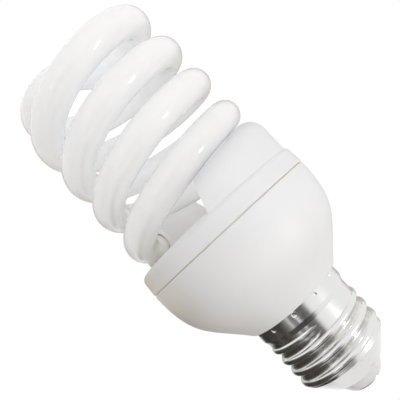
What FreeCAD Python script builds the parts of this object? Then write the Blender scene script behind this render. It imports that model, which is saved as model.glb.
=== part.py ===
import FreeCAD, Part
import math
import os

Vector = FreeCAD.Vector
UP = Vector(0, 0, 1)
os.makedirs("parts", exist_ok=True)

# The lamp stands on its end contact: heights run up from the contact's tip.
# All sizes are in millimetres and all angles in degrees.

# Screw cap
contact_flat_radius = 2.0
contact_radius = 4.5
contact_dome_height = 0.8
contact_rim = 0.4
contact_stem_radius = 1.2
contact_stem_length = 7.0
insulator_tip_radius = 5.3
insulator_edge_round = 0.5
insulator_edge_turn = 60.0
insulator_height = 6.4
insulator_bore_clearance = 0.1
cap_sheet = 0.35
cap_mouth_radius = 7.9
cap_mouth_height = 4.6
cap_cone_height = 5.37
thread_crest_radius = 13.1
thread_root_radius = 12.05
thread_length = 14.03
thread_pitch = 3.629
thread_flat = 0.05
thread_top_turn = 150.0
thread_full_turn = 1080.0
thread_fade_turn = 120.0
thread_groove_turn = 1040.0
thread_step_turn = 30.0
thread_end_sink = 1.1
thread_crest_angle = 180.0
thread_crest_height_on_cap = 21.7
collar_radius = 13.15
collar_taper_height = 1.4
collar_length = 3.2
crimp_count = 12
crimp_ball_radius = 1.0
crimp_depth = 0.22
crimp_below_edge = 0.85
crimp_first_angle = -131.0
insulator_fit = 0.05

# Housing
wall = 1.6
neck_edge_gap = 0.15
neck_lip_radius = 14.4
neck_lip_round = 0.4
neck_fit = 0.1
neck_depth = 2.9
neck_wall = 1.5
bowl_lean = 38.5
bowl_lower_pull = 11.2
bowl_upper_pull = 13.8
body_radius = 25.45
seam_height = 52.8
seam_gap = 0.1
seam_chamfer = 0.3
tongue_wall = 1.1
tongue_fit = 0.1
tongue_rise = 2.2
tongue_root = 3.2
ledge_overlap = 0.8
ledge_depth = 1.5
board_below_seam = 6.8

# Upper cover and its two shoulders
cover_height = 5.4
deck_draft = 0.25
deck_edge_round = 1.7
deck_rim = 0.75
shoulder_room = 0.25
shoulder_wall = 1.1
shoulder_outer_round = 5.0
shoulder_inner_round = 3.0
shoulder_cover = 6.9
shoulder_turn = 71.8
shoulder_end_lean = 17.0
shoulder_sweep_past = 10.0
entry_angle = -20.0
entry_lift = 4.6
entry_wall_turn = 4.2
entry_clearance = 0.25

# Glass spiral
tube_radius = 3.95
coil_rise = 11.07
coil_turn = 692.0
crossing_turn = 112.0
tail_turn = 46.0

# Cement that holds the tube ends
cement_start_turn = 7.0
cement_turn = 18.0
cement_fit = 0.1
cement_bore_past = 5.0
cement_below_tube = 3.0

# Circuit board and its parts
board_room = 2.65
board_thickness = 1.6
lead_radius = 0.3
lead_hole_clearance = 0.15
lead_stand = 0.9
bulk_capacitor_radius = 5.0
bulk_capacitor_length = 18.0
bulk_capacitor_place = (-2.0, 0.0)
bulk_lead_spacing = 5.0
can_edge_round = 0.7
can_groove_depth = 0.5
can_groove_height = 2.4
choke_place = (10.5, 0.0)
choke_width = 11.0
choke_core_depth = 4.5
choke_height = 10.5
choke_yoke = 2.0
choke_leg = 2.8
choke_side_leg = 1.7
choke_flange = 0.6
choke_flange_depth = 9.2
choke_bobbin_wall = 0.5
choke_winding_inset = 0.25
choke_pin_places = ((-2.6, -3.9), (2.6, -3.9), (-2.6, 3.9), (2.6, 3.9))
choke_fit = 0.1
toroid_place = (-2.0, 10.2)
toroid_radius = 4.0
toroid_bore_radius = 2.0
toroid_thickness = 3.6
toroid_wire = 0.5
toroid_wire_fit = 0.05
toroid_turns = 9
toroid_turn_step = 24.0
transistor_places = ((-11.5, -5.5), (-11.5, 4.0))
transistor_width = 7.6
transistor_depth = 2.6
transistor_height = 8.5
transistor_lead_spacing = 2.3
diode_places = ((1.0, -10.0), (4.2, -10.0), (7.4, -10.0), (10.6, -10.0))
diode_radius = 1.35
diode_length = 5.0
resistor_places = ((-9.5, 9.6), (-9.5, 12.2), (-9.5, 14.8))
resistor_radius = 0.9
resistor_length = 3.4
diac_place = (14.0, -8.5)
diac_radius = 0.8
diac_length = 3.2
fuse_place = (-2.2, -10.0)
fuse_radius = 1.2
fuse_length = 6.0
axial_lead_reach = 1.1
film_place = (9.0, 9.5)
film_size = (7.5, 4.0, 8.0)
film_lead_spacing = 5.0
starter_place = (8.0, 14.0)
starter_size = (6.0, 3.4, 7.0)
starter_lead_spacing = 3.6
film_edge_round = 0.5
drum_place = (-8.0, -13.0)
drum_radius = 3.0
drum_height = 8.0
drum_groove = 0.7
drum_flange = 1.2
drum_lead_spacing = 3.0
thermistor_place = (14.8, 7.5)
thermistor_radius = 2.6
thermistor_thickness = 2.0
thermistor_lead_spacing = 3.6
pin_size = 0.6
pin_below_deck = 5.1
pin_stand = 0.8
pin_hole_radius = 0.6
pin_offsets = (-2.4, 0.1)
pin_turn = 60.0
tube_lead_radius = 0.25
tube_lead_spread = 1.25
tube_lead_fit_turn = 0.5
tube_lead_start_turn = 4.0
tube_lead_drop = 0.6
tube_lead_tail = 2.0
tube_lead_bend = 0.8
wire_radius = 0.45
wire_fit = 0.05
wire_end_fit = 0.1
wire_straight = 5.0
wire_bend = 2.0
contact_wire_angle = 140.4
contact_wire_room = 1.0
shell_wire_place = (3.6, 6.4)
shell_wire_run = 3.0

# Heights and radii that follow from the sizes above
contact_head = contact_dome_height + contact_rim
cap_cone_top = cap_mouth_height + cap_cone_height
thread_top = cap_cone_top + thread_length
thread_depth = thread_crest_radius - thread_root_radius
thread_level_radius = thread_crest_radius - thread_depth / 2
thread_round = ((thread_pitch / 2 - thread_flat) ** 2 + thread_depth ** 2) / (4 * thread_depth)
collar_base = thread_top + collar_taper_height
collar_top = collar_base + collar_length
neck_height = collar_top + neck_edge_gap
cover_bore = body_radius - wall
deck_height = seam_height + cover_height
board_height = seam_height - board_below_seam
board_radius = cover_bore - board_room
shoulder_half_width = tube_radius + shoulder_room + shoulder_wall
coil_radius = body_radius - deck_rim - shoulder_half_width
rim_height = seam_height - seam_gap / 2
cover_base = seam_height + seam_gap / 2
deck_underside = deck_height - wall
entry_height = deck_height + entry_lift
board_top = board_height + board_thickness
lead_top = board_top + lead_stand


def at(radius, height):
    return Vector(radius, 0, height)


def polar(radius, angle, height):
    turn = math.radians(angle)
    return Vector(radius * math.cos(turn), radius * math.sin(turn), height)


def arc(centre, radius, start, end):
    # Arc in the half plane that is revolved or swept, with angles from the outward direction
    points = []
    for angle in (start, (start + end) / 2, end):
        turn = math.radians(angle)
        points.append(centre + Vector(radius * math.cos(turn), 0, radius * math.sin(turn)))
    return Part.Arc(*points).toShape()


def outline(*pieces):
    # Closed wire through corner points and ready-made edges, joined by straight lines
    edges = []
    spans = []
    for piece in pieces:
        if isinstance(piece, Vector):
            spans.append((piece, piece, None))
        else:
            spans.append((piece.valueAt(piece.FirstParameter), piece.valueAt(piece.LastParameter), piece))
    for index, (start, end, edge) in enumerate(spans):
        if edge:
            edges.append(edge)
        following = spans[(index + 1) % len(spans)][0]
        if end.distanceToPoint(following) > 1e-6:
            edges.append(Part.makeLine(end, following))
    return Part.Wire(edges)


def bezier(poles):
    curve = Part.BezierCurve()
    curve.setPoles(poles)
    return curve.toShape()


def revolved(*pieces):
    return Part.Face(outline(*pieces)).revolve(Vector(0, 0, 0), UP, 360)


def moved(shape, place):
    return shape.translated(Vector(place[0], place[1], 0))


def rod(place, radius, bottom, top):
    return Part.makeCylinder(radius, top - bottom, Vector(place[0], place[1], bottom))


def block(place, size, bottom):
    corner = Vector(place[0] - size[0] / 2, place[1] - size[1] / 2, bottom)
    return Part.makeBox(size[0], size[1], size[2], corner)


def tangent_arc(start, corner, end):
    weight = (corner - start).normalize().dot((end - start).normalize())
    middle = (start + corner * (2 * weight) + end) * (0.5 / (1 + weight))
    return Part.Arc(start, middle, end).toShape()


def tangent_arcs(points):
    # Smooth chain of arcs, two between each pair of points; the end points only give the direction
    curve = Part.BSplineCurve()
    curve.interpolate(points)
    headings = [curve.tangent(curve.parameter(point))[0] for point in points]
    arcs = []
    for index in range(1, len(points) - 2):
        start, end = points[index:index + 2]
        leaving, arriving = headings[index:index + 2]
        chord = end - start
        spread = 2 * (1 - leaving.dot(arriving))
        along = chord.dot(leaving + arriving)
        reach = (math.sqrt(along * along + spread * chord.dot(chord)) - along) / spread
        first = start + leaving * reach
        last = end - arriving * reach
        joint = (first + last) * 0.5
        arcs.append(tangent_arc(start, first, joint))
        arcs.append(tangent_arc(joint, last, end))
    return arcs


def bent_rod(points, radius):
    # Round rod bent smoothly through the points
    arcs = tangent_arcs(points)
    side = arcs[0].tangentAt(arcs[0].FirstParameter).cross(UP).normalize()
    faces = []
    for edge in arcs:
        bend = edge.Curve
        turn = math.degrees(edge.LastParameter - edge.FirstParameter)
        ring = Part.Circle(edge.valueAt(edge.FirstParameter), edge.tangentAt(edge.FirstParameter), radius)
        ring.XAxis = side
        if not faces:
            faces.append(Part.Face(Part.Wire(ring.toShape())))
        faces.append(ring.toShape().revolve(bend.Center, bend.Axis, turn))
        side = FreeCAD.Rotation(bend.Axis, turn).multVec(side)
    ring = Part.Circle(edge.valueAt(edge.LastParameter), edge.tangentAt(edge.LastParameter), radius)
    ring.XAxis = side
    faces.append(Part.Face(Part.Wire(ring.toShape())))
    shell = Part.makeShell(faces)
    shell.sewShape(1e-4)
    return Part.Solid(shell.Shells[0])


def bent_wire(points, radius, bend):
    # Round wire in straight runs with rounded corners
    edges = []
    start = points[0]
    for before, corner, after in zip(points, points[1:], points[2:]):
        arriving = (corner - before).normalize()
        leaving = (after - corner).normalize()
        setback = bend * math.tan(arriving.getAngle(leaving) / 2)
        last = corner + leaving * setback
        edges.append(Part.makeLine(start, corner - arriving * setback))
        edges.append(tangent_arc(corner - arriving * setback, corner, last))
        start = last
    edges.append(Part.makeLine(start, points[-1]))
    maker = Part.BRepOffsetAPI.MakePipeShell(Part.Wire(edges))
    maker.add(Part.Wire(Part.makeCircle(radius, points[0], points[1] - points[0])))
    maker.build()
    maker.makeSolid()
    return maker.shape()


def upright_sweep(profile, path):
    # Section that stays upright while it follows the path
    maker = Part.BRepOffsetAPI.MakePipeShell(path)
    maker.setBiNormalMode(UP)
    maker.add(profile)
    maker.build()
    maker.makeSolid()
    return maker.shape()


def half_turn(shape):
    return shape.rotated(Vector(0, 0, 0), UP, 180)


def save(node, *shapes):
    shape = shapes[0] if len(shapes) == 1 else Part.makeCompound(shapes)
    shape.exportStep("parts/" + node + ".step")


# Glass spiral: two coils half a turn apart, joined by a crossing over the axis

def coil_height(angle):
    return entry_height + coil_rise * (angle - entry_angle) / 180


def coil_path(start, end, steps):
    # One step more at each end gives the direction there
    points = []
    for step in range(-1, steps + 2):
        angle = start + (end - start) * step / steps
        points.append(polar(coil_radius, angle, coil_height(angle)))
    return points


def crossing_path(steps):
    # Leaves the coil level with its circle and straightens out towards the axis
    start = entry_angle + coil_turn
    rise = coil_rise / 180 * crossing_turn * (math.pi / 2) / 3
    points = []
    for step in range(1, steps + 1):
        share = 1 - step / steps
        swing = share * math.pi / 2
        angle = start + crossing_turn * math.cos(swing)
        height = coil_height(start) + rise * (1 - share ** 3)
        points.append(polar(coil_radius * math.sin(swing), angle, height))
    return points


tail_angle = entry_angle - tail_turn
one_arm = coil_path(tail_angle, entry_angle + coil_turn, 20)[:-1] + crossing_path(6)
other_arm = [Vector(-point.x, -point.y, point.z) for point in reversed(one_arm[:-1])]
save("glass_spiral", bent_rod(one_arm + other_arm, tube_radius))


# Screw cap: centre contact, insulator and threaded shell

dome_run = contact_radius - contact_flat_radius
dome_radius = (dome_run ** 2 + contact_dome_height ** 2) / (2 * contact_dome_height)
dome_turn = math.degrees(math.asin(dome_run / dome_radius))
dome = arc(at(contact_flat_radius, dome_radius), dome_radius, -90, dome_turn - 90)
stem_top = contact_head + contact_stem_length
save("centre_contact", revolved(
    at(0, 0),
    dome,
    at(contact_radius, contact_head),
    at(contact_stem_radius, contact_head),
    at(contact_stem_radius, stem_top),
    at(0, stem_top),
))

cone_run = thread_level_radius - cap_mouth_radius
cone_slant = math.hypot(cone_run, cap_cone_height)
inward = cap_sheet * cap_cone_height / cone_slant
upward = cap_sheet * cone_run / cone_slant
fit_share = 1 + insulator_fit / cap_sheet
insulator_base = contact_head
insulator_top = contact_head + insulator_height
seat_radius = cap_mouth_radius - inward * fit_share
seat_height = cap_mouth_height + upward * fit_share
seat_top_radius = seat_radius + (insulator_top - seat_height) * cone_run / cap_cone_height
insulator_bore = contact_stem_radius + insulator_bore_clearance
save("cap_insulator", revolved(
    at(insulator_bore, insulator_base),
    arc(at(insulator_tip_radius - insulator_edge_round, insulator_base + insulator_edge_round),
        insulator_edge_round, -90, insulator_edge_turn - 90),
    at(seat_radius, seat_height),
    at(seat_top_radius, insulator_top),
    at(insulator_bore, insulator_top),
))

shell_outside = revolved(
    at(0, cap_mouth_height),
    at(cap_mouth_radius, cap_mouth_height),
    at(thread_level_radius, cap_cone_top),
    at(thread_level_radius, thread_top),
    at(collar_radius, collar_base),
    at(collar_radius, collar_top),
    at(0, collar_top),
)
bore_radius = thread_root_radius - cap_sheet
collar_bore = collar_radius - cap_sheet
cone_bore_inset = thread_level_radius - bore_radius - inward
cone_bore_height = cap_cone_top + upward - cone_bore_inset * cap_cone_height / cone_run
mouth_bore = cap_mouth_radius - inward - upward * cone_run / cap_cone_height
shell_inside = revolved(
    at(0, cap_mouth_height),
    at(mouth_bore, cap_mouth_height),
    at(bore_radius, cone_bore_height),
    at(bore_radius, thread_top),
    at(collar_bore, collar_base),
    at(collar_bore, collar_top),
    at(0, collar_top),
)


def thread_path(radius, end_shift, drop, total):
    # Follows the thread down from its top and shifts in or out of the shell at both ends
    start = thread_crest_angle + thread_top_turn
    steps = round(total / thread_step_turn)
    points = []
    for step in range(-1, steps + 2):
        turned = total * step / steps
        fade = max(0, 1 - turned / thread_fade_turn, 1 - (total - turned) / thread_fade_turn)
        ease = fade * fade * (3 - 2 * fade)
        angle = start - turned
        height = thread_crest_height_on_cap + thread_pitch * (angle - thread_crest_angle) / 360
        points.append(polar(radius + end_shift * ease, angle, height - drop))
    return points


ridge_radius = thread_crest_radius - thread_round
ridge_turn = thread_top_turn + thread_full_turn + thread_fade_turn
thread_ridge = bent_rod(thread_path(ridge_radius, -thread_end_sink, 0, ridge_turn), thread_round)
groove_radius = thread_root_radius + thread_round
groove_path = thread_path(groove_radius, thread_end_sink, thread_pitch / 2, thread_groove_turn)
thread_groove = bent_rod(groove_path, thread_round)
crimps = []
for index in range(crimp_count):
    angle = crimp_first_angle + index * 360 / crimp_count
    reach = collar_radius - crimp_depth + crimp_ball_radius
    crimps.append(Part.makeSphere(crimp_ball_radius, polar(reach, angle, collar_top - crimp_below_edge)))
save("screw_shell", shell_outside.fuse(thread_ridge).cut([thread_groove, shell_inside]).cut(crimps))


# Lower housing: bowl with a neck inside the cap's collar and a tongue inside the cover

lean = math.radians(bowl_lean)
bowl_top = rim_height - seam_chamfer
lip_centre = at(neck_lip_radius - neck_lip_round, neck_height + neck_lip_round)
bowl_outward = Vector(math.cos(lean), 0, -math.sin(lean))
bowl_foot = lip_centre + bowl_outward * neck_lip_round
lower_pull = Vector(math.sin(lean), 0, math.cos(lean)) * bowl_lower_pull
upper_pull = UP * bowl_upper_pull


def bowl_poles(foot, top):
    return [foot, foot + lower_pull, top - upper_pull, top]


outer_poles = bowl_poles(bowl_foot, at(body_radius, bowl_top))
inner_poles = bowl_poles(bowl_foot - bowl_outward * wall, at(cover_bore, bowl_top))
middle_poles = [(outer + inner) * 0.5 for outer, inner in zip(outer_poles, inner_poles)]
neck_outer = collar_bore - neck_fit
neck_bore = neck_outer - neck_wall
neck_bottom = neck_height - neck_depth
bowl = revolved(
    at(neck_bore, neck_bottom),
    at(neck_outer, neck_bottom),
    at(neck_outer, neck_height),
    arc(lip_centre, neck_lip_round, -90, -bowl_lean),
    bezier(outer_poles),
    at(body_radius - seam_chamfer, rim_height),
    at(cover_bore, rim_height),
    bezier(inner_poles[::-1]),
    at(neck_bore, inner_poles[0].z),
)
tongue_outer = cover_bore - tongue_fit
tongue_inner = tongue_outer - tongue_wall
tongue = revolved(
    at(tongue_inner, rim_height - tongue_root),
    at(cover_bore + wall / 2, rim_height - tongue_root),
    at(cover_bore + wall / 2, rim_height),
    at(tongue_outer, rim_height),
    at(tongue_outer, rim_height + tongue_rise),
    at(tongue_inner, rim_height + tongue_rise),
)
wall_core = revolved(at(0, middle_poles[0].z), bezier(middle_poles), at(0, bowl_top))
ledge = revolved(
    at(board_radius - ledge_overlap, board_height - ledge_depth),
    at(body_radius, board_height - ledge_depth),
    at(body_radius, board_height),
    at(board_radius - ledge_overlap, board_height),
).common(wall_core)
save("lower_housing", bowl.fuse([tongue, ledge]))


# Upper cover: low deck with two hollow shoulders that the tube ends sink into

shoulder_depth = entry_lift + wall + 1
shoulder_end = entry_angle - shoulder_turn
sweep_end = shoulder_end - shoulder_sweep_past


def shoulder_section(inset, depth, angle):
    inner = coil_radius - shoulder_half_width + inset
    outer = coil_radius + shoulder_half_width - inset
    top = coil_height(angle) + shoulder_cover - inset
    bottom = coil_height(angle) - depth
    inner_round = shoulder_inner_round - inset
    outer_round = shoulder_outer_round - inset
    section = outline(
        at(inner, bottom),
        at(outer, bottom),
        arc(at(outer - outer_round, top - outer_round), outer_round, 0, 90),
        arc(at(inner + inner_round, top - inner_round), inner_round, 90, 180),
    )
    return section.rotated(Vector(0, 0, 0), UP, angle)


def shoulder_sweep(inset, depth, start, end):
    path = Part.Wire(tangent_arcs(coil_path(start, end, 4)))
    return upright_sweep(shoulder_section(inset, depth, start), path)


def past_end_wall(inset):
    # All that lies beyond the leaning end wall
    reach = 2 * body_radius
    outward = polar(1, shoulder_end, 0)
    along = polar(1, shoulder_end + 90, 0)
    tilt = math.radians(shoulder_end_lean)
    rise = UP * math.cos(tilt) + along * math.sin(tilt)
    inside = rise.cross(outward)
    box = Part.makeBox(reach, reach, 2 * reach, Vector(0, -reach, -reach))
    turn = FreeCAD.Rotation(outward, inside, rise, "ZXY")
    box.Placement = FreeCAD.Placement(UP * deck_height + inside * inset, turn)
    return box


below_deck = Part.makeBox(
    4 * body_radius, 4 * body_radius, deck_height,
    Vector(-2 * body_radius, -2 * body_radius, -wall / 2),
)
shoulder = shoulder_sweep(0, shoulder_depth, entry_angle, sweep_end).cut([past_end_wall(0), below_deck])
cavity_start = entry_angle - entry_wall_turn
cavity = shoulder_sweep(shoulder_wall, shoulder_depth, cavity_start, sweep_end)
cavity = cavity.cut(past_end_wall(shoulder_wall))
entry_path = coil_path(entry_angle + entry_wall_turn, cavity_start - entry_wall_turn, 3)
entry_hole = bent_rod(entry_path, tube_radius + entry_clearance)
deck_edge_centre = at(body_radius - deck_draft - deck_edge_round, deck_height - deck_edge_round)
cover_shell = revolved(
    at(cover_bore, cover_base),
    at(body_radius - seam_chamfer, cover_base),
    at(body_radius, cover_base + seam_chamfer),
    arc(deck_edge_centre, deck_edge_round, 0, 90),
    at(0, deck_height),
    at(0, deck_underside),
    at(cover_bore, deck_underside),
)
hollows = [cavity, half_turn(cavity), entry_hole, half_turn(entry_hole)]
save("upper_cover", cover_shell.fuse([shoulder, half_turn(shoulder)]).cut(hollows))

cement_start = entry_angle - cement_start_turn
cement_end = cement_start - cement_turn
cement_path = coil_path(cement_start + cement_bore_past, cement_end - cement_bore_past, 4)
cement_bore = bent_rod(cement_path, tube_radius + cement_fit)
cement = shoulder_sweep(shoulder_wall + cement_fit, cement_below_tube, cement_start, cement_end)
cement = cement.cut(cement_bore)
save("tube_cement", cement, half_turn(cement))


# Parts under the circuit board: each stands on it and its leads pass through

lead_places = []


def with_leads(body, places):
    lead_places.extend(places)
    return body.fuse([rod(place, lead_radius, board_height - lead_stand, lead_top) for place in places])


def row(place, spacing, count, direction):
    heading = polar(spacing, direction, 0)
    middle = (count - 1) / 2
    return [
        (place[0] + heading.x * (index - middle), place[1] + heading.y * (index - middle))
        for index in range(count)
    ]


def axial_part(place, radius, length, direction):
    heading = polar(1, direction, 0)
    middle = Vector(place[0], place[1], board_height - radius)
    reach = length / 2 + axial_lead_reach
    body = Part.makeCylinder(radius, length, middle - heading * (length / 2), heading)
    wire = Part.makeCylinder(lead_radius, 2 * reach, middle - heading * reach, heading)
    feet = row(place, 2 * reach, 2, direction)
    lead_places.extend(feet)
    return body.fuse([wire] + [rod(foot, lead_radius, middle.z, lead_top) for foot in feet])


def film_capacitor(place, size, spacing):
    body = block(place, size, board_height - size[2])
    body = body.makeFillet(film_edge_round, [edge for edge in body.Edges if edge.BoundBox.ZLength > 1])
    return with_leads(body, row(place, spacing, 2, 0))


can_bottom = board_height - bulk_capacitor_length
groove = board_height - can_groove_height
can = revolved(
    at(0, can_bottom),
    arc(at(bulk_capacitor_radius - can_edge_round, can_bottom + can_edge_round), can_edge_round, -90, 0),
    at(bulk_capacitor_radius, groove - can_groove_depth),
    at(bulk_capacitor_radius - can_groove_depth, groove),
    at(bulk_capacitor_radius, groove + can_groove_depth),
    at(bulk_capacitor_radius, board_height),
    at(0, board_height),
)
bulk_leads = row(bulk_capacitor_place, bulk_lead_spacing, 2, 90)
save("bulk_capacitor", with_leads(moved(can, bulk_capacitor_place), bulk_leads))

choke_bottom = board_height - choke_height
window_width = (choke_width - choke_leg) / 2 - choke_side_leg
window_height = choke_height - 2 * choke_yoke
window_offset = (choke_leg + window_width) / 2
window_size = (window_width, choke_core_depth, window_height)
core = block(choke_place, (choke_width, choke_core_depth, choke_height), choke_bottom)
windows = [
    block((choke_place[0] + side * window_offset, choke_place[1]), window_size, choke_bottom + choke_yoke)
    for side in (-1, 1)
]
save("choke_core", core.cut(windows))

bobbin_bottom = choke_bottom + choke_yoke + choke_fit
bobbin_height = window_height - 2 * choke_fit
bore_size = (choke_leg + 2 * choke_fit, choke_core_depth + 2 * choke_fit, bobbin_height)
sleeve_size = (bore_size[0] + 2 * choke_bobbin_wall, bore_size[1] + 2 * choke_bobbin_wall, bobbin_height)
flange_size = (choke_leg + 2 * window_width - 2 * choke_fit, choke_flange_depth, choke_flange)
flange_top = bobbin_bottom + bobbin_height - choke_flange
bobbin = block(choke_place, sleeve_size, bobbin_bottom).fuse([
    block(choke_place, flange_size, bobbin_bottom),
    block(choke_place, flange_size, flange_top),
]).cut(block(choke_place, bore_size, bobbin_bottom))
choke_pins = [(choke_place[0] + x, choke_place[1] + y) for x, y in choke_pin_places]
lead_places.extend(choke_pins)
save("choke_bobbin", bobbin.fuse([rod(place, lead_radius, flange_top, lead_top) for place in choke_pins]))

winding_bottom = bobbin_bottom + choke_flange + choke_fit
winding_height = bobbin_height - 2 * choke_flange - 2 * choke_fit
winding_size = (
    flange_size[0] - 2 * choke_winding_inset,
    flange_size[1] - 2 * choke_winding_inset,
    winding_height,
)
winding_bore = (sleeve_size[0] + choke_fit, sleeve_size[1] + choke_fit, winding_height)
winding = block(choke_place, winding_size, winding_bottom)
save("choke_winding", winding.cut(block(choke_place, winding_bore, winding_bottom)))

toroid_centre = Vector(toroid_place[0], toroid_place[1], board_height - toroid_radius)
toroid_face = toroid_centre - Vector(toroid_thickness / 2, 0, 0)
toroid_axis = Vector(1, 0, 0)
ring = Part.makeCylinder(toroid_radius, toroid_thickness, toroid_face, toroid_axis)
ring = ring.cut(Part.makeCylinder(toroid_bore_radius, toroid_thickness, toroid_face, toroid_axis))
save("drive_toroid", ring)

turn_radial = toroid_radius - toroid_bore_radius + 2 * toroid_wire_fit
turn_axial = toroid_thickness + 2 * toroid_wire_fit
turn_middle = (toroid_radius + toroid_bore_radius) / 2
turn_place = (toroid_centre.x, toroid_centre.y)
turn_height = toroid_centre.z - turn_middle - turn_radial / 2
turn_size = (turn_axial + 2 * toroid_wire, toroid_wire, turn_radial + 2 * toroid_wire)
wire_turn = block(turn_place, turn_size, turn_height - toroid_wire)
wire_turn = wire_turn.cut(block(turn_place, (turn_axial, toroid_wire, turn_radial), turn_height))
first_turn = -toroid_turn_step * (toroid_turns - 1) / 2
save("toroid_windings", *[
    wire_turn.rotated(toroid_centre, toroid_axis, first_turn + index * toroid_turn_step)
    for index in range(toroid_turns)
])

transistors = []
for place in transistor_places:
    size = (transistor_depth, transistor_width, transistor_height)
    body = block(place, size, board_height - transistor_height)
    transistors.append(with_leads(body, row(place, transistor_lead_spacing, 3, 90)))
save("power_transistors", *transistors)

save("rectifier_diodes", *[axial_part(place, diode_radius, diode_length, 90) for place in diode_places])
save("resistors", *[axial_part(place, resistor_radius, resistor_length, 0) for place in resistor_places])
save("diac", axial_part(diac_place, diac_radius, diac_length, 90))
save("fusible_resistor", axial_part(fuse_place, fuse_radius, fuse_length, 90))
save("resonant_capacitor", film_capacitor(film_place, film_size, film_lead_spacing))
save("starting_capacitor", film_capacitor(starter_place, starter_size, starter_lead_spacing))

drum_bottom = board_height - drum_height
drum_waist = drum_radius - drum_groove
drum = revolved(
    at(0, drum_bottom),
    at(drum_radius, drum_bottom),
    at(drum_radius, drum_bottom + drum_flange),
    at(drum_waist, drum_bottom + drum_flange + drum_groove),
    at(drum_waist, board_height - drum_flange - drum_groove),
    at(drum_radius, board_height - drum_flange),
    at(drum_radius, board_height),
    at(0, board_height),
)
save("filter_choke", with_leads(moved(drum, drum_place), row(drum_place, drum_lead_spacing, 2, 0)))

disc_face = Vector(
    thermistor_place[0] - thermistor_thickness / 2, thermistor_place[1], board_height - thermistor_radius
)
disc = Part.makeCylinder(thermistor_radius, thermistor_thickness, disc_face, Vector(1, 0, 0))
disc_leads = row(thermistor_place, thermistor_lead_spacing, 2, 90)
lead_places.extend(disc_leads)
save("ptc_thermistor", disc.fuse([
    rod(place, lead_radius, board_height - thermistor_radius, lead_top) for place in disc_leads
]))


# Wiring: posts for the tube's leads, the leads themselves and the two supply wires

pin_radii = [coil_radius + offset for offset in pin_offsets]
pin_angle = entry_angle - pin_turn
pin_places = [polar(radius, pin_angle, 0) for radius in pin_radii]
pin_top = deck_height - pin_below_deck
pin_bottom = board_height - pin_stand
pin_block = (pin_size, pin_size, pin_top - pin_bottom)
pins = [block((place.x, place.y), pin_block, pin_bottom) for place in pin_places]
save("wrap_pins", *pins, *[half_turn(pin) for pin in pins])

tube_leads = []
for radius, side in zip(pin_radii, (-1, 1)):
    start_radius = coil_radius + side * tube_lead_spread
    start_height = coil_height(tail_angle)
    tube_leads.append(bent_wire([
        polar(start_radius, tail_angle - tube_lead_fit_turn, start_height),
        polar(start_radius, tail_angle - tube_lead_start_turn, start_height - tube_lead_drop),
        polar(radius, pin_angle, pin_top + tube_lead_tail),
        polar(radius, pin_angle, pin_top + wire_end_fit),
    ], tube_lead_radius, tube_lead_bend))
save("tube_leads", *tube_leads, *[half_turn(lead) for lead in tube_leads])

wire_top = board_top + lead_stand
contact_wire_foot = polar(neck_bore - wire_radius - contact_wire_room, contact_wire_angle, 0)
save("contact_wire", bent_wire([
    contact_wire_foot + UP * wire_top,
    contact_wire_foot + UP * thread_top,
    UP * (stem_top + wire_straight),
    UP * (stem_top + wire_end_fit),
], wire_radius, wire_bend))

shell_wire_foot = Vector(shell_wire_place[0], shell_wire_place[1], 0)
shell_wire_end = Vector(shell_wire_foot).normalize() * (bore_radius - wire_radius - wire_fit)
save("shell_wire", bent_wire([
    shell_wire_foot + UP * wire_top,
    shell_wire_foot + UP * neck_bottom,
    shell_wire_end + UP * (neck_bottom - wire_straight),
    shell_wire_end + UP * (neck_bottom - wire_straight - shell_wire_run),
], wire_radius, wire_bend))

holes = [rod(place, lead_radius + lead_hole_clearance, board_height, board_top) for place in lead_places]
for foot in (contact_wire_foot, shell_wire_foot):
    holes.append(rod((foot.x, foot.y), wire_radius + lead_hole_clearance, board_height, board_top))
for place in pin_places:
    hole = rod((place.x, place.y), pin_hole_radius, board_height, board_top)
    holes.extend([hole, half_turn(hole)])
save("circuit_board", rod((0, 0), board_radius, board_height, board_top).cut(holes))
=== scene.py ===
import bpy
import math
from mathutils import Matrix, Vector

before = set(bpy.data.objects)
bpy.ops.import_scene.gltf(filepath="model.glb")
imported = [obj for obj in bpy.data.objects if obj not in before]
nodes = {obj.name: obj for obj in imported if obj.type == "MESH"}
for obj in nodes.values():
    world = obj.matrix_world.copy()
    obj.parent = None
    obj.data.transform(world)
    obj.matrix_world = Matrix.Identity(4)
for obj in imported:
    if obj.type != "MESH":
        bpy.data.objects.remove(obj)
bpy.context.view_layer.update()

print("frame loaded:", len(nodes), "nodes")


class Value:  # a shader socket that takes part in Python sums
    def __init__(self, maker, socket):
        self.maker = maker
        self.socket = socket

    def sum(self, operation, *others):
        return self.maker.sum(operation, self, *others)

    def __add__(self, other):
        return self.sum("ADD", other)

    __radd__ = __add__

    def __sub__(self, other):
        return self.sum("SUBTRACT", other)

    def __rsub__(self, other):
        return self.maker.sum("SUBTRACT", other, self)

    def __mul__(self, other):
        return self.sum("MULTIPLY", other)

    __rmul__ = __mul__

    def between(self, low, high):  # smooth step, 0 at low and 1 at high
        values = {"Value": self, "From Min": low, "From Max": high}
        return self.maker.node("ShaderNodeMapRange", {"interpolation_type": "SMOOTHSTEP"}, values)


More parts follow.
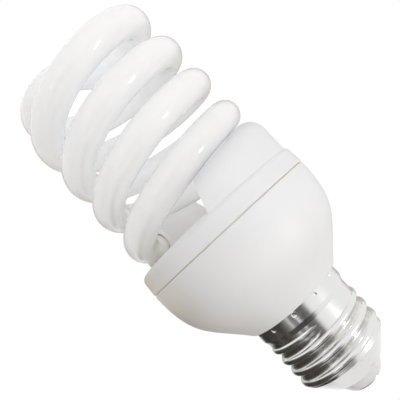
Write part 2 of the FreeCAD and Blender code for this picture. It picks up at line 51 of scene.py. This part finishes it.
class Maker:  # adds nodes to one tree
    def __init__(self, tree):
        self.tree = tree

    def node(self, kind, settings, values, output=0):
        made = self.tree.nodes.new(kind)
        for key, setting in settings.items():
            setattr(made, key, setting)
        for key, value in values.items():
            self.feed(made.inputs[key], value)
        return Value(self, made.outputs[output])

    def feed(self, socket, value):
        if isinstance(value, Value):
            self.tree.links.new(value.socket, socket)
        elif socket.type == "RGBA":
            socket.default_value = (*value, 1)
        else:
            socket.default_value = value

    def sum(self, operation, *terms):
        return self.node("ShaderNodeMath", {"operation": operation}, dict(enumerate(terms)))

    def blend(self, share, first, second):  # inputs 6 and 7 and output 2 are the colours
        return self.node("ShaderNodeMix", {"data_type": "RGBA"}, {0: share, 6: first, 7: second}, 2)

    def directRays(self):  # 1 where the camera, gloss or glass looks straight at it
        names = ("Is Camera Ray", "Is Glossy Ray", "Is Transmission Ray")
        camera, gloss, through = [self.node("ShaderNodeLightPath", {}, {}, name) for name in names]
        return camera.sum("MAXIMUM", gloss).sum("MAXIMUM", through)


class Finish(Maker):  # one material
    def __init__(self, name):
        self.material = bpy.data.materials.new(name)
        self.material.use_nodes = True
        super().__init__(self.material.node_tree)
        self.tree.nodes.clear()
        self.output = self.tree.nodes.new("ShaderNodeOutputMaterial")
        self.place = self.node("ShaderNodeTexCoord", {}, {}, "Object")
        self.shader = self.node("ShaderNodeBsdfPrincipled", {}, {})
        self.feed(self.output.inputs["Surface"], self.shader)

    def set(self, **values):  # baseColor=... feeds Base Color
        for key, value in values.items():
            name = "".join(" " + letter if letter.isupper() else letter for letter in key)
            self.feed(self.shader.socket.node.inputs[name.title()], value)

    def axis(self, name):
        return self.node("ShaderNodeSeparateXYZ", {}, {0: self.place}, name)

    def radius(self):  # distance from the lamp's axis
        x, y = self.axis("X"), self.axis("Y")
        return (x * x + y * y).sum("SQRT")

    def noise(self, scale, detail, roughness=0.5, stretch=(1, 1, 1)):
        place = self.node("ShaderNodeMapping", {}, {"Vector": self.place, "Scale": stretch})
        values = {"Vector": place, "Scale": scale, "Detail": detail, "Roughness": roughness}
        return self.node("ShaderNodeTexNoise", {}, values)

    def bump(self, height, strength, distance):
        values = {"Height": height, "Strength": strength, "Distance": distance}
        self.set(normal=self.node("ShaderNodeBump", {}, values))

    def mix(self, share, other):  # other takes the shader's place where share is 1
        parts = {0: share, 1: self.shader, 2: other}
        self.feed(self.output.inputs["Surface"], self.node("ShaderNodeMixShader", {}, parts))

    def glow(self, share):  # mixes in white light
        self.mix(share, self.node("ShaderNodeEmission", {}, {"Color": (1, 1, 1), "Strength": 1.0}))

    def layer(self, share):  # mixes in a second shader, which set feeds from here on
        second = self.node("ShaderNodeBsdfPrincipled", {}, {})
        self.mix(share, second)
        self.shader = second

    def on(self, *names):
        for name in names:
            slots = nodes[name].data.materials
            slots.clear()
            slots.append(self.material)


# glass spiral, coated white inside
glass = {
    "coating": (0.886, 0.899, 0.928),
    "thinCoating": (0.856, 0.869, 0.888),
    "patches": {"scale": 90, "detail": 4},
    "patchRange": (0.35, 0.75),
    "greyEnds": (0.87, 0.86, 0.83),
    "greyHeight": (0.0690, 0.0610),
    "evenGrey": 0.6,  # the rest of the grey follows the patches
    "innerEndsPaintedLight": (0.97, 0.95, 0.89),  # painted light: lighter colour at the tube's ends, on the inside of the coil, where the cover shades them
    "innerEndsRadius": (0.0195, 0.0170),
    "innerEndsRough": 0.4,
    "grain": {"scale": 2600, "detail": 2},
    "rough": 0.34,
    "grainRough": 0.1,
    "gloss": {"coatWeight": 1.0, "coatRoughness": 0.03},
    "depth": 0.03,  # metres that light goes in
}
spiral = Finish("coatedGlass")
patches = spiral.noise(**glass["patches"]).between(*glass["patchRange"])
coating = spiral.blend(patches, glass["coating"], glass["thinCoating"])
ends = spiral.axis("Z").between(*glass["greyHeight"])
grey = ends * (glass["evenGrey"] + (1 - glass["evenGrey"]) * patches)
spiral.set(
    baseColor=spiral.blend(grey, coating, glass["greyEnds"]),
    roughness=glass["rough"] + glass["grainRough"] * spiral.noise(**glass["grain"]),
    subsurfaceWeight=1.0,
    subsurfaceRadius=(1, 1, 1),
    subsurfaceScale=glass["depth"],
    **glass["gloss"],
)
# painted light: a lighter second layer on the tube's ends inside the coil, against the shade there
spiral.layer(ends * spiral.radius().between(*glass["innerEndsRadius"]))
spiral.set(baseColor=glass["innerEndsPaintedLight"], roughness=glass["innerEndsRough"], **glass["gloss"])
spiral.on("glass_spiral")
nodes["glass_spiral"].visible_shadow = False  # the lamps reach through it
print("glass spiral finished")

# housing and cover; each tint has a colour and the range over which it comes in. The patches are
# random tone; the lighter lower bowl, recess deck and seam groove are painted light, and the
# darker, warmer left side is painted shade
plastic = {
    "colour": (0.757, 0.765, 0.789),
    "shade": (0.727, 0.735, 0.753),
    "patches": {"scale": 60, "detail": 3},
    "patchRange": (0.3, 0.8),
    # painted light: lighter, bluer colour over the lower bowl, except towards the right side
    "low": (0.825, 0.84, 0.873),
    "lowSide": (0.012, -0.006),
    "lowHeight": (0.050, 0.034),
    # painted shade: darker, warmer colour on the far left side of the housing, from the bowl's
    # middle up
    "aged": (0.66, 0.625, 0.57),
    "paintedShadeSide": (-0.012, -0.025),
    "paintedShadeHeight": (0.034, 0.046),
    # painted light: lighter colour on the deck in the recess beside the tubes, where shade falls
    "deck": (0.84, 0.833, 0.812),
    "deckRadius": (0.0190, 0.0160),
    "deckHeight": (0.052, 0.056),
    # painted light: lighter colour in the seam's groove, where shade falls
    "seam": (0.80, 0.79, 0.77),
    "seamHeight": 0.0528,
    "seamReach": (0.0004, 0.0002),
    "grain": {"scale": 1800, "detail": 2},
    "grainBump": {"strength": 0.15, "distance": 0.00003},
    "rough": 0.36,
    "grainRough": 0.12,
}
housing = Finish("whitePlastic")
side, height, radius = housing.axis("X"), housing.axis("Z"), housing.radius()
tints = {
    "shade": housing.noise(**plastic["patches"]).between(*plastic["patchRange"]),
    "low": side.between(*plastic["lowSide"]) * height.between(*plastic["lowHeight"]),
    "aged": side.between(*plastic["paintedShadeSide"]) * height.between(*plastic["paintedShadeHeight"]),
    "deck": radius.between(*plastic["deckRadius"]) * height.between(*plastic["deckHeight"]),
    "seam": (height - plastic["seamHeight"]).sum("ABSOLUTE").between(*plastic["seamReach"]),
}
white = plastic["colour"]
for name, share in tints.items():
    white = housing.blend(share, white, plastic[name])
grain = housing.noise(**plastic["grain"])
housing.set(baseColor=white, roughness=plastic["rough"] + plastic["grainRough"] * grain)
housing.bump(grain, **plastic["grainBump"])
housing.on("lower_housing", "upper_cover")
print("housing finished")

# screw cap
cap = {
    "nickel": (0.80, 0.80, 0.79),
    "tarnish": (0.58, 0.56, 0.52),
    "spots": {"scale": 160, "detail": 5, "roughness": 0.65},
    "spotRange": (0.55, 0.85),
    "rootSpotRange": (0.25, 0.6),  # more of them along the thread's root
    "rootRadius": (0.01250, 0.01205),
    "threadFoot": (0.0098, 0.0106),
    "lines": {"scale": 1, "detail": 3, "roughness": 0.6, "stretch": (300, 300, 9000)},
    "lineBump": {"strength": 0.05, "distance": 0.00001},
    "rough": 0.17,
    "lineRough": 0.1,
    "tarnishRough": 0.12,
}
shell = Finish("nickel")
lines = shell.noise(**cap["lines"])
spots = shell.noise(**cap["spots"])
roots = shell.radius().between(*cap["rootRadius"]) * shell.axis("Z").between(*cap["threadFoot"])
rootSpots = roots * spots.between(*cap["rootSpotRange"])
tarnish = spots.between(*cap["spotRange"]).sum("MAXIMUM", rootSpots)
shell.set(
    baseColor=shell.blend(tarnish, cap["nickel"], cap["tarnish"]),
    metallic=1.0,
    roughness=cap["rough"] + cap["lineRough"] * lines + cap["tarnishRough"] * tarnish,
)
shell.bump(lines, **cap["lineBump"])
shell.on("screw_shell")

tip = {
    "colours": ((0.78, 0.76, 0.73), (0.6, 0.58, 0.55)),
    "scratches": {"scale": 1, "detail": 4, "roughness": 0.7, "stretch": (900, 5200, 900)},
    "scratchBump": {"strength": 0.2, "distance": 0.00002},
    "rough": 0.24,
    "scratchRough": 0.2,
}
contact = Finish("contactMetal")
scratches = contact.noise(**tip["scratches"])
contact.set(
    baseColor=contact.blend(scratches, *tip["colours"]),
    metallic=1.0,
    roughness=tip["rough"] + tip["scratchRough"] * scratches,
)
contact.bump(scratches, **tip["scratchBump"])
contact.on("centre_contact")

ring = {
    "colours": ((0.71, 0.715, 0.725), (0.64, 0.645, 0.65)),
    "cloud": {"scale": 240, "detail": 4},
    "cloudRange": (0.3, 0.8),
    "rough": 0.2,
    "cloudRough": 0.1,
    "gloss": {"coatWeight": 0.5, "coatRoughness": 0.05},
}
insulator = Finish("insulator")
cloud = insulator.noise(**ring["cloud"]).between(*ring["cloudRange"])
insulator.set(
    baseColor=insulator.blend(cloud, *ring["colours"]),
    roughness=ring["rough"] + ring["cloudRough"] * cloud,
    **ring["gloss"],
)
insulator.on("cap_insulator")
print("cap finished")

# cement and ballast inside the housing
inside = {
    "cement": {
        "on": ["tube_cement"],
        "colours": ((0.78, 0.77, 0.73), (0.66, 0.64, 0.59)), "scale": 420, "rough": 0.7,
    },
    "boardLaminate": {
        "on": ["circuit_board"],
        "colours": ((0.52, 0.38, 0.17), (0.42, 0.29, 0.12)), "scale": 900, "rough": 0.5,
    },
    "ferrite": {
        "on": ["choke_core", "drive_toroid", "filter_choke"],
        "colours": ((0.09, 0.09, 0.10), (0.15, 0.15, 0.16)), "scale": 1500, "rough": 0.55,
    },
    "bobbinPlastic": {
        "on": ["choke_bobbin"],
        "colours": ((0.80, 0.78, 0.70), (0.72, 0.70, 0.61)), "scale": 300, "rough": 0.45,
    },
    "blackEpoxy": {
        "on": ["power_transistors", "rectifier_diodes"],
        "colours": ((0.04, 0.04, 0.045), (0.08, 0.08, 0.085)), "scale": 1900, "rough": 0.5,
    },
    "capacitorSleeve": {
        "on": ["bulk_capacitor"],
        "colours": ((0.05, 0.07, 0.20), (0.07, 0.09, 0.25)), "scale": 200, "rough": 0.25,
    },
    "filmEpoxy": {
        "on": ["resonant_capacitor", "starting_capacitor", "diac"],
        "colours": ((0.48, 0.11, 0.05), (0.38, 0.08, 0.04)), "scale": 350, "rough": 0.22,
    },
    "resistorPaint": {
        "on": ["resistors", "fusible_resistor", "ptc_thermistor"],
        "colours": ((0.70, 0.58, 0.40), (0.60, 0.48, 0.32)), "scale": 800, "rough": 0.4,
    },
    "wireSleeve": {
        "on": ["contact_wire", "shell_wire"],
        "colours": ((0.74, 0.74, 0.73), (0.62, 0.62, 0.60)), "scale": 500, "rough": 0.4,
    },
}
mottling = {
    "noise": {"detail": 4, "roughness": 0.6},
    "range": (0.35, 0.7),
    "rough": 0.15,
    "bump": {"strength": 0.2, "distance": 0.00003},
}
for name, piece in inside.items():
    finish = Finish(name)
    mottle = finish.noise(piece["scale"], **mottling["noise"])
    finish.set(
        baseColor=finish.blend(mottle.between(*mottling["range"]), *piece["colours"]),
        roughness=piece["rough"] + mottling["rough"] * mottle,
    )
    finish.bump(mottle, **mottling["bump"])
    finish.on(*piece["on"])

wound = {
    "colours": ((0.72, 0.36, 0.15), (0.45, 0.20, 0.08)),
    "turnScale": 700,
    "turnBump": {"strength": 0.4, "distance": 0.00005},
    "rough": 0.2,
    "turnRough": 0.15,
}
copper = Finish("copperWire")
rows = {"Vector": copper.place, "Scale": wound["turnScale"]}
turns = copper.node("ShaderNodeTexWave", {"bands_direction": "Z"}, rows)
copper.set(
    baseColor=copper.blend(turns, *wound["colours"]),
    metallic=1.0,
    roughness=wound["rough"] + wound["turnRough"] * turns,
)
copper.bump(turns, **wound["turnBump"])
copper.on("choke_winding", "toroid_windings")

leads = {
    "colours": ((0.76, 0.76, 0.75), (0.60, 0.60, 0.59)),
    "dull": {"scale": 1400, "detail": 4, "roughness": 0.6},
    "rough": 0.25,
    "dullRough": 0.2,
}
tinned = Finish("tinnedWire")
dull = tinned.noise(**leads["dull"])
tinned.set(
    baseColor=tinned.blend(dull, *leads["colours"]),
    metallic=1.0,
    roughness=leads["rough"] + leads["dullRough"] * dull,
)
tinned.on("wrap_pins", "tube_leads")
print("ballast finished")

# floor that glows white when looked at, with a faint shadow left under the lamp
floor = {
    "height": -0.16,
    "size": 3.0,
    "colour": (0.66, 0.61, 0.54),
    "rough": 0.9,
    "shadow": 0.15,
    "shadowRadius": (0.20, 0.05),
}
bpy.ops.mesh.primitive_plane_add(size=floor["size"], location=(0, 0, floor["height"]))
ground = bpy.context.object
ground.name = "floor"
paper = Finish("floorPaper")
paper.set(baseColor=floor["colour"], roughness=floor["rough"])
shadow = floor["shadow"] * paper.radius().between(*floor["shadowRadius"])
paper.glow(paper.directRays() * (1 - shadow))
ground.data.materials.append(paper.material)

# cards that only the gloss shows: dark cloth near the cap, grey cloth behind the tubes
cloths = {
    "dark": ((0.025, 0.022, 0.02), (0.24, 0.215, 0.18)),
    "grey": ((0.76, 0.74, 0.71), (0.86, 0.84, 0.81)),
    "folds": {"scale": 5, "detail": 2, "stretch": (1, 3, 1)},
    "foldRange": (0.45, 0.75),
    "rough": 0.95,
    "edge": (0.6, 1.15),  # where the cloth gives way to white
    "edgeFolds": 0.6,
}
cards = {
    "leftCard": {
        "place": (-0.055, 0.005, -0.03), "turn": (90, 90), "size": (0.16, 0.17), "cloth": "dark",
    },
    "frontCard": {
        "place": (-0.155, -0.42, -0.07), "turn": (90, 0), "size": (0.48, 0.34), "cloth": "dark",
    },
    "lowCard": {
        "place": (-0.035, -0.075, -0.06), "turn": (0, 0), "size": (0.12, 0.13), "cloth": "dark",
    },
    "backCard": {
        "place": (-0.06, 0.40, 0.05), "turn": (90, 0), "size": (0.95, 0.90), "cloth": "grey",
    },
}
for name, card in cards.items():
    cloth = Finish(name)
    folds = cloth.noise(**cloths["folds"])
    colour = cloth.blend(folds.between(*cloths["foldRange"]), *cloths[card["cloth"]])
    cloth.set(baseColor=colour, roughness=cloths["rough"])
    across, along = [cloth.axis(axis) * 2 for axis in "XY"]  # -1 to 1 over the card
    across, along = across * across, along * along
    outward = across * across + along * along + cloths["edgeFolds"] * folds
    cloth.glow(outward.between(*cloths["edge"]))
    tilt, swing = [math.radians(angle) for angle in card["turn"]]
    bpy.ops.mesh.primitive_plane_add(size=1, location=card["place"], rotation=(tilt, 0, swing))
    sheet = bpy.context.object
    sheet.name = name
    sheet.scale = (*card["size"], 1)
    sheet.visible_camera = False
    sheet.visible_diffuse = False
    sheet.visible_shadow = False
    sheet.data.materials.append(cloth.material)
print("floor and cards set")

# camera
view = {
    "place": (0, -0.11875, 0.05138),
    "pitch": 2.23,
    "roll": 43.0,
    "lens": 40.9,
    "sensor": 36,
    "shift": (-0.05, 0.05),
    "nearest": 0.005,
}
pitch = math.radians(view["pitch"])
roll = math.radians(view["roll"])
ahead = Vector((0, math.cos(pitch), math.sin(pitch)))
right = Vector((1, 0, 0))
above = right.cross(ahead)
sideways = right * math.cos(roll) - above * math.sin(roll)
upward = right * math.sin(roll) + above * math.cos(roll)
camera = bpy.data.objects.new("camera", bpy.data.cameras.new("camera"))
bpy.context.scene.collection.objects.link(camera)
facing = Matrix((sideways, upward, -ahead)).transposed().to_4x4()
camera.matrix_world = Matrix.Translation(view["place"]) @ facing
camera.data.lens = view["lens"]
camera.data.sensor_width = view["sensor"]
camera.data.shift_x, camera.data.shift_y = view["shift"]
camera.data.clip_start = view["nearest"]
bpy.context.scene.camera = camera

# lamps a little cool, all turned towards the middle; of these the gloss shows the panes alone
room = {
    "lamps": (0.985, 0.99, 1.0),
    "middle": (0, 0, 0.06),
    "panes": ("rightPane", "leftPane", "lowPane"),
    "seen": (1, 1, 1),
    "light": (0.595, 0.585, 0.57),
    "bounces": 12,
}
lamps = {
    "key": {"place": (0.35, -0.29, 0.07), "size": (0.25, 0.25), "power": 0.50},
    "rightPane": {"place": (0.233, -0.18, -0.13), "size": (0.035, 0.06), "power": 0.13},
    "leftPane": {"place": (-0.19, -0.293, 0.146), "size": (0.025, 0.07), "power": 0.014},
    "lowPane": {"place": (-0.126, -0.306, -0.016), "size": (0.025, 0.07), "power": 0.014},
    "front": {"place": (0.0, -0.35, 0.042), "size": (0.10, 0.10), "power": 0.17},
    "left": {"place": (-0.22, -0.12, 0.34), "size": (0.25, 0.25), "power": 0.15},
    "low": {"place": (0.24, -0.24, -0.10), "size": (0.20, 0.20), "power": 0.18},
    "back": {"place": (-0.05, 0.38, 0.16), "size": (0.35, 0.35), "power": 0.26},
    "top": {"place": (0.10, 0.10, 0.45), "size": (0.30, 0.30), "power": 0.2},
}
for name, lamp in lamps.items():
    data = bpy.data.lights.new(name, "AREA")
    data.shape = "RECTANGLE"
    data.size, data.size_y = lamp["size"]
    data.energy = lamp["power"]
    data.color = room["lamps"]
    light = bpy.data.objects.new(name, data)
    bpy.context.scene.collection.objects.link(light)
    light.location = lamp["place"]
    inward = Vector(room["middle"]) - light.location
    light.rotation_euler = inward.to_track_quat("-Z", "Y").to_euler()
    light.visible_glossy = name in room["panes"]

# the room round it is white to look at, warm and dimmer as light
world = bpy.data.worlds.new("studio")
world.use_nodes = True
bpy.context.scene.world = world
air = Maker(world.node_tree)
colour = air.blend(air.directRays(), room["light"], room["seen"])
air.feed(air.tree.nodes["Background"].inputs["Color"], colour)
bpy.context.scene.view_settings.view_transform = "Standard"
bpy.context.scene.cycles.diffuse_bounces = room["bounces"]
print("camera and light set")
